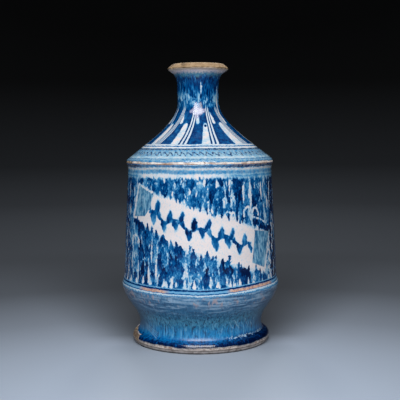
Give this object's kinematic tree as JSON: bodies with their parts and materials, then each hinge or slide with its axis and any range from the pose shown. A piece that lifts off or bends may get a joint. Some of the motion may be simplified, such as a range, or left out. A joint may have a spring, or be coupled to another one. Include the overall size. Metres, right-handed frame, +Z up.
{
  "type": "maiolica pharmacy bottle",
  "caption": "Tall tin-glazed earthenware bottle with a flanged foot, cylindrical drum, conical shoulder, narrow neck and sharp everted lip, painted in cobalt blue.",
  "frame": {"origin": "centre of the flat resting face, at the bottom of the foot", "axes": "+Z up along the bottle's axis; the painted front faces -Y"},
  "size_m": [0.1384, 0.1384, 0.24],
  "materials": {
    "clay": "matt fired earthenware, worn",
    "cobalt_glaze": "glossy tin glaze painted in cobalt, streaked",
    "inside_glaze": "thin off-white glaze"
  },
  "bodies": {
    "root": {"foot_section": "clay", "drum_section": "clay", "shoulder_section": "clay", "neck_section": "clay", "lower_glaze": "cobalt_glaze", "upper_glaze": "cobalt_glaze", "inner_glaze": "inside_glaze"}
  },
  "joints": []
}
